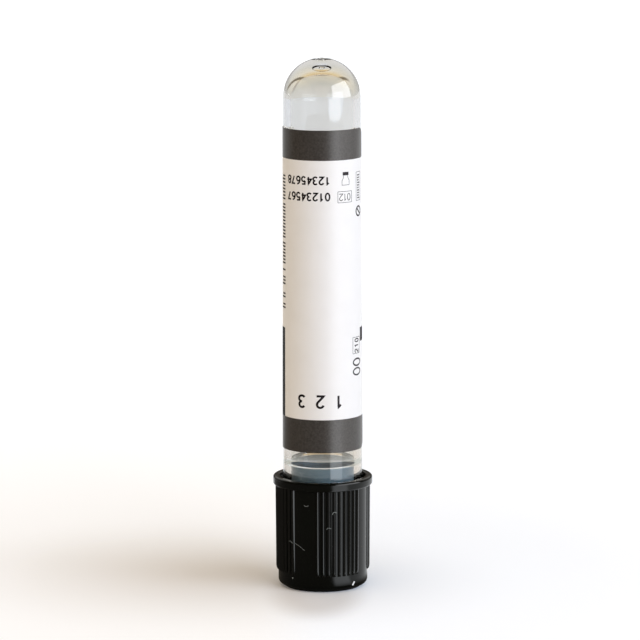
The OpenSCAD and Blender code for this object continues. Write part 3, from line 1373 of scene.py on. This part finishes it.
class BLOOD_TUBE_OT_marks(bpy.types.Operator):
    """Prints the label's small marks, upside down: plain numbers, boxes, rings and bars"""

    bl_idname = "blood_tube.marks"
    bl_label = "Printed marks"

    def execute(self, context):
        label = context.scene.label_shape
        shape = context.scene.marks_shape
        # places in these tables are millimetres to the right of the front and up, and sizes are
        # millimetres too; the widths of the strokes come from the settings
        rows_of_numbers = (
            # the numbers, where the first one is, the way to the next, size, stroke, and turn
            ("12345678", (0.85, 65.8), (-0.95, 0), 1.15, shape.stroke, 180),
            ("01234567", (0.85, 63.25), (-0.95, 0), 1.15, shape.stroke, 180),
            ("123", (2.6, 30.7), (-2.95, 0), 1.85, 1.4 * shape.stroke, 180),
            ("012", (4.5, 63.1), (-0.72, 0), 1.05, 0.45 * shape.stroke, 180),
            ("012", (6.3, 40.1), (0, -0.85), 0.95, 0.7 * shape.stroke, 90),
        )
        # left, right, low and high: under the bottle, at the right-hand side, over the two rings
        boxes = (2.5, 5.1, 62.25, 64.0), (6.3, 7.7, 62.3, 66.8), (5.3, 7.2, 38.0, 40.6)
        # middle, height, half width and half height
        rings = (7.0, 60.6, 0.75, 0.75), (6.4, 36.6, 1.0, 0.55), (6.4, 35.1, 1.0, 0.55)
        ring_slash = (6.5, 61.1), (7.5, 60.1)
        # the low and high ends of words in the column of dashes along the left-hand side
        words = (
            (62.5, 66.3),
            (56.4, 61.6),
            (52.3, 55.7),
            (51.2, 51.5),
            (49.0, 50.2),
            (46.9, 47.5),
            (45.2, 45.8),
        )
        lines = self.bottle(3.9 * MM, 65.0 * MM, shape)
        for numbers, (across, up), (aside, upwards), size, width, turn in rows_of_numbers:
            for i, number in enumerate(numbers):
                middle = (across + aside * i) * MM, (up + upwards * i) * MM
                lines += self.number(number, *middle, size * MM, width, turn)
        for sides in boxes:
            lines += self.frame(*(side * MM for side in sides), shape.hairline)
        for ring in rings:
            lines.append((oval(*(length * MM for length in ring), 0, 360), shape.stroke))
        lines.append(([(across * MM, up * MM) for across, up in ring_slash], shape.stroke))
        lines += self.dashes(6.65 * MM, 62.7 * MM, 66.5 * MM, length=0.7 * MM, width=0.2 * MM)
        for low, high in words:
            lines += self.dashes(-7.2 * MM, low * MM, high * MM, length=-1.6 * MM, width=0.26 * MM)

        def place(point, lift):
            around = math.degrees(point.x / tube_radius(LABEL_HIGH.z))
            return on_tube(around, point.y, lift)

        under = label.paper / 2
        over = label.paper + label.ink
        piece = bands("label_marks", lines, place, under, over)
        dress(piece, TUBE_BODY, printed_black(), "label_ink", "label_print")
        return {"FINISHED"}

    def strokes(self, number):
        """The strokes of a plain number, in a cell 0.6 wide and 1 high round its middle."""
        six = [oval(0, -0.2, 0.27, 0.3, 0, 360), oval(0.14, -0.2, 0.41, 0.7, 180, 82)]
        return {
            "0": [oval(0, 0, 0.27, 0.5, 0, 360, 24)],
            "1": [[(-0.16, 0.28), (0.05, 0.5), (0.05, -0.5)]],
            "2": [[*oval(0, 0.22, 0.27, 0.28, 165, -35), (-0.28, -0.5), (0.3, -0.5)]],
            "3": [oval(0, 0.25, 0.25, 0.25, 150, -90), oval(0, -0.25, 0.28, 0.25, 90, -150)],
            "4": [[(0.12, -0.5), (0.12, 0.5), (-0.28, -0.2), (0.3, -0.2)]],
            "5": [
                [(0.24, 0.5), (-0.18, 0.5), (-0.22, 0.06)],
                oval(0, -0.18, 0.27, 0.32, 142, -150),
            ],
            "6": six,
            "7": [[(-0.27, 0.5), (0.27, 0.5), (-0.1, -0.5)]],
            "8": [oval(0, 0.25, 0.22, 0.25, 0, 360), oval(0, -0.24, 0.27, 0.26, 0, 360)],
        }[number]

    def number(self, number, across, up, size, width, turn):
        """One number as lines round its middle, turned by an angle in degrees."""
        sine = math.sin(math.radians(turn)) * size
        cosine = math.cos(math.radians(turn)) * size
        lines = []
        for stroke in self.strokes(number):
            points = [(across + x * cosine - y * sine, up + x * sine + y * cosine) for x, y in stroke]
            lines.append((points, width))
        return lines

    def frame(self, left, right, low, high, width):
        """The four sides of a box, each a line of its own, so that its corners stay square."""
        return [
            ([(left, low), (right, low)], width),
            ([(left, high), (right, high)], width),
            ([(left, low), (left, high)], width),
            ([(right, low), (right, high)], width),
        ]

    def dashes(self, foot, low, high, length, width):
        """A column of short dashes of three lengths, in place of a line of small print, as far
        apart as they are wide. They start at the foot and go to the right, or to the left where
        the length is less than nothing."""
        pitch = 2 * width
        lines = []
        for i in range(int((high - low) / pitch) + 1):
            tip = foot + length * (1, 0.7, 0.85)[i % 3]
            height = low + i * pitch
            lines.append(([(foot, height), (tip, height)], width))
        return lines

    def bottle(self, across, foot, shape):
        """A small bottle in outline with a solid stopper, which stands for the symbols."""
        side = [(0.4, 1.55), (0.4, 1.2), (0.68, 0.7), (0.68, 0)]
        outline = [(across + x * MM, foot + y * MM) for x, y in side]
        outline += [(across - x * MM, foot + y * MM) for x, y in reversed(side)]
        cap_z = foot + 1.8 * MM
        cap = [(across - 0.55 * MM, cap_z), (across + 0.55 * MM, cap_z)]
        return [([*outline, outline[0]], shape.hairline), (cap, 0.5 * MM)]


class BLOOD_TUBE_OT_wear(bpy.types.Operator):
    """Makes the small marks of handling: scuffs and lint on the cap, a chip whose glint is painted white,
    and a scratch
    """

    bl_idname = "blood_tube.wear"
    bl_label = "Wear"

    def execute(self, context):
        cap = context.scene.cap_shape
        wall = cap.wall_radius + 0.5 * cap.wall_draft
        crest = wall + cap.rib_height
        foot = wall - 0.02 * MM
        skin = TUBE_HIGH.x
        hair = 0.055 * MM
        # each mark is a line of (degrees from the front, height in millimetres), and its width
        curl = oval(-21.6, 14.25, 3.2, 0.22, 200, 340), 0.08 * MM
        line = [(-38, 7.85), (-31, 7.45), (-24, 6.85)], hair
        lint = oval(14.4, 12.9, 2.4, 0.3, 20, 200), 0.075 * MM
        fibre = oval(7.5, 10.45, 2.8, 0.22, 10, 180), hair
        strand = [(-46, 8.1), (-43, 8.2), (-40, 7.85)], hair
        blob = [(-43, 2.2), (-41.5, 2.05)], 0.2 * MM
        # the chip's white is a painted glint, not the plastic's own colour
        chip_and_glint = [(41, 0.95), (44.5, 1.5)], 0.26 * MM
        scratch = [(-36, 19.3), (-31.5, 18.8), (-33.5, 18.0)], hair
        fork = [(-31.5, 18.8), (-29.5, 19.2)], hair
        scuffed = scuffed_polyethylene()
        for name, radius, marks, near, far, body, material in (
            ("cap_scuffs", wall, (curl, line), -0.03, 0.03, CAP_BODY, scuffed),
            ("cap_lint", crest, (lint, fibre, strand), -0.03, 0.03, CAP_BODY, scuffed),
            ("cap_smudge", wall, (blob,), -0.03, 0.03, CAP_BODY, scuffed),
            ("cap_chip_and_glint", foot, (chip_and_glint,), -0.05, 0.05, CAP_BODY, chip_with_painted_glint()),
            ("tube_scratch", skin, (scratch, fork), -0.005, 0.008, TUBE_BODY, scratched_pet()),
        ):
            lines = self.lines(radius, marks)
            piece = bands(name, lines, self.on_cylinder(radius), near * MM, far * MM)
            dress(piece, body, material)
        return {"FINISHED"}

    def lines(self, radius, marks):
        """The marks as lengths round and along a cylinder."""
        return [
            ([(math.radians(degrees) * radius, height * MM) for degrees, height in points], width)
            for points, width in marks
        ]

    def on_cylinder(self, radius):
        """What puts a point of (length round, height) on a cylinder, at a lift off it."""

        def place(point, lift):
            angle = point.x / radius
            reach = radius + lift
            return Vector((reach * math.sin(angle), -reach * math.cos(angle), point.y))

        return place


class BLOOD_TUBE_OT_cap(bpy.types.Operator):
    """Makes the black cap and its groups of ribs"""

    bl_idname = "blood_tube.cap"
    bl_label = "Cap"

    def execute(self, context):
        shape = context.scene.cap_shape
        black = moulded_polyethylene("black polyethylene, moulded", 0.0)
        polished = moulded_polyethylene("black polyethylene, polished by fingers", 0.5)
        body = lathe("cap_body", self.section(shape), 256, closed=True, sharp_degrees=50)
        dress(body, CAP_BODY, black, "cap_plastic", "cap")
        ribs = self.ribs(context, shape, polished)
        dress(ribs, CAP_BODY, polished, "cap_plastic", "cap")
        return {"FINISHED"}

    def section(self, shape):
        """Half section of the cap, round from the foot up the outside and down the inside."""
        foot_r = 6.1 * MM
        foot_in_r = 5.0 * MM
        foot_h = 0.3 * MM
        heel = 0.8 * MM
        port_r = 4.0 * MM
        end_wall = STOPPER_LOW.z
        socket_r = 6.55 * MM
        socket_mouth_r = 6.85 * MM
        lead_in = 0.7 * MM
        edge = 0.35 * MM
        ease = 0.08 * MM
        step = 0.06 * MM
        bead_z = 5.4 * MM
        bead_r = 0.2 * MM
        wall_low = 2 * MM
        wall_high = 16 * MM
        top = CAP_HIGH.z
        flange_r = CAP_HIGH.x
        flange_z = top - shape.flange_height
        wall_r = shape.wall_radius
        upper_r = wall_r + shape.wall_draft
        section = arc(foot_r - ease, ease, ease, -90, 0, 3)
        section += [(foot_r, foot_h - step / 3), (foot_r + step, foot_h)]
        section += arc(wall_r - heel, foot_h + heel, heel, -90, 0, 12)
        for share in (i / 6 for i in range(7)):
            section.append((wall_r + shape.wall_draft * share, wall_low + (wall_high - wall_low) * share))
        section += arc(upper_r + ease, flange_z - ease, ease, 180, 90, 3)
        section += arc(flange_r - edge, flange_z + edge, edge, -90, 0, 6)
        section += arc(flange_r - edge, top - edge, edge, 0, 90, 6)
        section += arc(socket_mouth_r + ease, top - ease, ease, 90, 180, 4)
        section += [(socket_r, top - lead_in)]
        section += arc(socket_r, bead_z, bead_r, 90, 270, 8)
        section += [(socket_r, end_wall), (port_r, end_wall)]
        section += [(port_r, foot_h), (foot_in_r, foot_h), (foot_in_r, ease), (foot_in_r + ease, 0)]
        return section

    def ribs(self, context, shape, material):
        """One rib along the wall, repeated round the cap by Geometry Nodes and made a plain mesh."""
        tree = bpy.data.node_groups.new("cap ribs", "GeometryNodeTree")
        top = CAP_HIGH.z - shape.flange_height + 0.1 * MM
        given = {
            "groups": ("NodeSocketInt", shape.rib_groups),
            "ribs in group": ("NodeSocketInt", shape.ribs_in_group),
            "pitch": ("NodeSocketFloat", shape.rib_pitch),
            "middle": ("NodeSocketFloat", shape.rib_middle),
            "wall radius": ("NodeSocketFloat", shape.wall_radius),
            "draft": ("NodeSocketFloat", shape.wall_draft),
            "height": ("NodeSocketFloat", shape.rib_height),
            "width": ("NodeSocketFloat", shape.rib_width),
            "bottom": ("NodeSocketFloat", shape.rib_start),
            "top": ("NodeSocketFloat", top),
            "material": ("NodeSocketMaterial", material),
        }
        sockets = {
            name: tree.interface.new_socket(name, in_out="INPUT", socket_type=kind)
            for name, (kind, value) in given.items()
        }
        tree.interface.new_socket("ribs", in_out="OUTPUT", socket_type="NodeSocketGeometry")
        values = dict(add_node(tree, "NodeGroupInput").outputs.items())

        # a box of unit size is bent into a rib, and the ribs differ only in their turn
        box = add_node(
            tree,
            "GeometryNodeMeshCube",
            {"Size": (1, 1, 1), "Vertices X": 2, "Vertices Y": 11, "Vertices Z": 22},
        )
        place = add_node(tree, "GeometryNodeInputPosition")
        values.update(add_node(tree, "ShaderNodeSeparateXYZ", {0: place}).outputs.items())
        values["index"] = add_node(tree, "GeometryNodeInputIndex")
        for name, first, operation, second in self.rib_formulas():
            terms = {0: values.get(first, first), 1: values.get(second, second)}
            values[name] = add_node(tree, "ShaderNodeMath", terms, operation=operation)
        bent = add_node(
            tree, "ShaderNodeCombineXYZ", {0: values["radial"], 1: values["narrow"], 2: values["level"]}
        )
        rib = add_node(tree, "GeometryNodeSetPosition", {"Geometry": box, "Position": bent})
        points = add_node(tree, "GeometryNodePoints", {"Count": values["count"]})
        turn = add_node(tree, "ShaderNodeCombineXYZ", {2: values["turn"]})
        copies = add_node(
            tree,
            "GeometryNodeInstanceOnPoints",
            {"Points": points, "Instance": rib, "Rotation": turn},
        )
        solid = add_node(tree, "GeometryNodeRealizeInstances", {0: copies})
        painted = add_node(
            tree, "GeometryNodeSetMaterial", {"Geometry": solid, "Material": values["material"]}
        )
        add_node(tree, "NodeGroupOutput", {0: painted})

        holder = add_piece("cap_ribs", bpy.data.meshes.new("cap_ribs"))
        modifier = holder.modifiers.new("ribs", "NODES")
        modifier.node_group = tree
        for name, (kind, value) in given.items():
            modifier[sockets[name].identifier] = value
        context.view_layer.update()
        evaluated = holder.evaluated_get(context.evaluated_depsgraph_get())
        plain = bpy.data.meshes.new_from_object(evaluated)
        holder.modifiers.remove(modifier)
        holder.data = plain
        plain.name = "cap_ribs"
        finish_mesh(plain, 50)
        return holder

    def rib_formulas(self):
        """What the nodes work out for a rib, one after the other: a name, a first term, what is
        done with it, and a second term. X, Y and Z are places in the box, from -0.5 to 0.5."""
        run_out = 0.55 * MM
        root = 0.15 * MM
        sink = 0.01 * MM
        return (
            # up the rib, from 0 to 1: its rows stand closer together at the lower end
            ("spread", "Z", "ADD", 0.5),
            ("along", "spread", "POWER", 2.2),
            ("span", "top", "SUBTRACT", "bottom"),
            ("rise", "along", "MULTIPLY", "span"),
            ("level", "bottom", "ADD", "rise"),
            # the outer face is a rounded ridge that runs out in a quarter round at its lower end
            ("across", "Y", "MULTIPLY", 2),
            ("off middle", "across", "ABSOLUTE", 0),
            ("fall", "off middle", "POWER", 1.6),
            ("crest", 1, "SUBTRACT", "fall"),
            ("started", "rise", "DIVIDE", run_out),
            ("in run-out", "started", "MINIMUM", 1),
            ("left over", 2, "SUBTRACT", "in run-out"),
            ("squared", "in run-out", "MULTIPLY", "left over"),
            ("swell", "squared", "SQRT", 0),
            ("full", "height", "MULTIPLY", "crest"),
            ("ridge", "full", "MULTIPLY", "swell"),
            # out from the axis: the inner face is buried in the wall, which leans outwards
            ("leaning", "draft", "MULTIPLY", "along"),
            ("skin", "wall radius", "ADD", "leaning"),
            ("inner", "skin", "SUBTRACT", root),
            ("ridge's foot", "skin", "SUBTRACT", sink),
            ("outer", "ridge's foot", "ADD", "ridge"),
            ("thickness", "outer", "SUBTRACT", "inner"),
            ("outwards", "X", "ADD", 0.5),
            ("depth", "outwards", "MULTIPLY", "thickness"),
            ("radial", "inner", "ADD", "depth"),
            ("narrow", "Y", "MULTIPLY", "width"),
            # the turn of each rib: its group's place, and its own place in the group
            ("count", "groups", "MULTIPLY", "ribs in group"),
            ("middle of index", "index", "ADD", 0.5),
            ("groups passed", "middle of index", "DIVIDE", "ribs in group"),
            ("group", "groups passed", "FLOOR", 0),
            ("ribs passed", "group", "MULTIPLY", "ribs in group"),
            ("in group", "index", "SUBTRACT", "ribs passed"),
            ("other ribs", "ribs in group", "SUBTRACT", 1),
            ("half", "other ribs", "DIVIDE", 2),
            ("from half", "in group", "SUBTRACT", "half"),
            ("offset", "from half", "MULTIPLY", "pitch"),
            ("group angle", TAU, "DIVIDE", "groups"),
            ("step", "group", "MULTIPLY", "group angle"),
            ("from first", "offset", "ADD", "step"),
            ("angle", "from first", "ADD", "middle"),
            ("turn", "angle", "SUBTRACT", math.pi / 2),
        )


class BLOOD_TUBE_OT_stopper(bpy.types.Operator):
    """Makes the rubber stopper: a head inside the cap and a cupped plug inside the tube"""

    bl_idname = "blood_tube.stopper"
    bl_label = "Stopper"

    def execute(self, context):
        shape = context.scene.stopper_shape
        low = STOPPER_LOW.z
        top = STOPPER_HIGH.z
        neck_z = TUBE_LOW.z
        head_r = STOPPER_HIGH.x
        plug_r = shape.plug_radius
        waist_r = plug_r - 0.35 * MM
        ring_h = 2.6 * MM
        ease = 0.25 * MM
        rim = 0.2 * MM
        dimple_r = 1.6 * MM
        dimple_depth = 0.5 * MM
        cup_floor = top - shape.cup_depth
        groove_r = 6.55 * MM
        groove_z = 5.4 * MM
        groove = 0.25 * MM
        cup_r = shape.cup_radius
        cup_lip = 0.05 * MM
        cup_round = 0.8 * MM
        bite = math.degrees(math.acos((groove_r - head_r) / groove))
        section = [(0, low + dimple_depth)]
        section += arc(dimple_r - ease, low + dimple_depth - ease, ease, 90, 0, 4)
        section += [(dimple_r, low)]
        section += arc(head_r - ease, low + ease, ease, -90, 0, 5)
        section += arc(groove_r, groove_z, groove, 180 + bite, 180 - bite, 8)
        section += [(head_r, neck_z), (plug_r, neck_z)]
        section += arc(plug_r - ease, neck_z + ring_h - ease, ease, 0, 60, 4)
        section += [(waist_r, neck_z + ring_h + ease), (waist_r, top - ring_h - ease)]
        section += arc(plug_r - ease, top - ring_h + ease, ease, -60, 0, 4)
        section += arc(plug_r - rim, top - rim, rim, 0, 90, 8)
        section += arc(cup_r + cup_lip, top - cup_lip, cup_lip, 90, 180, 4)
        section += arc(cup_r - cup_round, cup_floor + cup_round, cup_round, 0, -90, 8)
        section += [(0, cup_floor)]
        piece = lathe("stopper_rubber", section, 192, sharp_degrees=50)
        dress(piece, CAP_BODY, siliconised_rubber(), "stopper_rubber", "stopper")
        return {"FINISHED"}


class BLOOD_TUBE_OT_solution(bpy.types.Operator):
    """Makes the clear solution that rests on the stopper and climbs the wall"""

    bl_idname = "blood_tube.solution"
    bl_label = "Solution"

    def execute(self, context):
        shape = context.scene.solution_shape
        cup = context.scene.stopper_shape
        film = 0.03 * MM
        wall = 5.085 * MM
        rim_z = STOPPER_HIGH.z
        pool_z = rim_z + shape.depth
        radius = (wall**2 + shape.climb**2) / (2 * shape.climb)
        reach = math.degrees(math.asin(wall / radius))
        cup_r = cup.cup_radius + film
        cup_floor = rim_z - cup.cup_depth - film
        section = [(0, cup_floor), (cup_r, cup_floor), (cup_r, rim_z + film), (wall, rim_z + film)]
        section += arc(0, pool_z + radius, radius, -90 + reach, -90, 24)[:-1]
        section += [(0, pool_z)]
        piece = lathe("solution_pool", section, 192, sharp_degrees=30)
        dress(piece, CAP_BODY, citrate_solution(), "solution", "additive")
        return {"FINISHED"}


class BLOOD_TUBE_PT_pieces(bpy.types.Panel):
    """Lists the pieces of the tube"""

    bl_idname = "BLOOD_TUBE_PT_pieces"
    bl_label = "Blood collection tube"
    bl_space_type = "VIEW_3D"
    bl_region_type = "UI"
    bl_category = "Tube"

    def draw(self, context):
        for piece in PIECES:
            self.layout.operator(piece.bl_idname)
        for name in SETTINGS:
            box = self.layout.box()
            group = getattr(context.scene, name)
            for key in group.bl_rna.properties.keys():
                if key not in {"rna_type", "name"}:
                    box.prop(group, key)


SETTINGS = {
    "tube_shape": TubeShape,
    "label_shape": LabelShape,
    "marks_shape": MarksShape,
    "cap_shape": CapShape,
    "stopper_shape": StopperShape,
    "solution_shape": SolutionShape,
    "stage_look": StageLook,
}
PIECES = (
    BLOOD_TUBE_OT_stage,
    BLOOD_TUBE_OT_tube,
    BLOOD_TUBE_OT_label,
    BLOOD_TUBE_OT_marks,
    BLOOD_TUBE_OT_cap,
    BLOOD_TUBE_OT_stopper,
    BLOOD_TUBE_OT_solution,
    BLOOD_TUBE_OT_wear,
)


def register():
    for group in (*SETTINGS.values(), *PIECES, BLOOD_TUBE_PT_pieces):
        bpy.utils.register_class(group)
    for name, group in SETTINGS.items():
        setattr(bpy.types.Scene, name, PointerProperty(type=group))


def unregister():
    for name in SETTINGS:
        delattr(bpy.types.Scene, name)
    for group in reversed((*SETTINGS.values(), *PIECES, BLOOD_TUBE_PT_pieces)):
        bpy.utils.unregister_class(group)


def main():
    register()
    bpy.ops.blood_tube.stage()
    bpy.ops.blood_tube.tube()
    bpy.ops.blood_tube.label()
    bpy.ops.blood_tube.marks()
    bpy.ops.blood_tube.cap()
    bpy.ops.blood_tube.stopper()
    bpy.ops.blood_tube.solution()
    bpy.ops.blood_tube.wear()


if __name__ == "__main__":
    main()
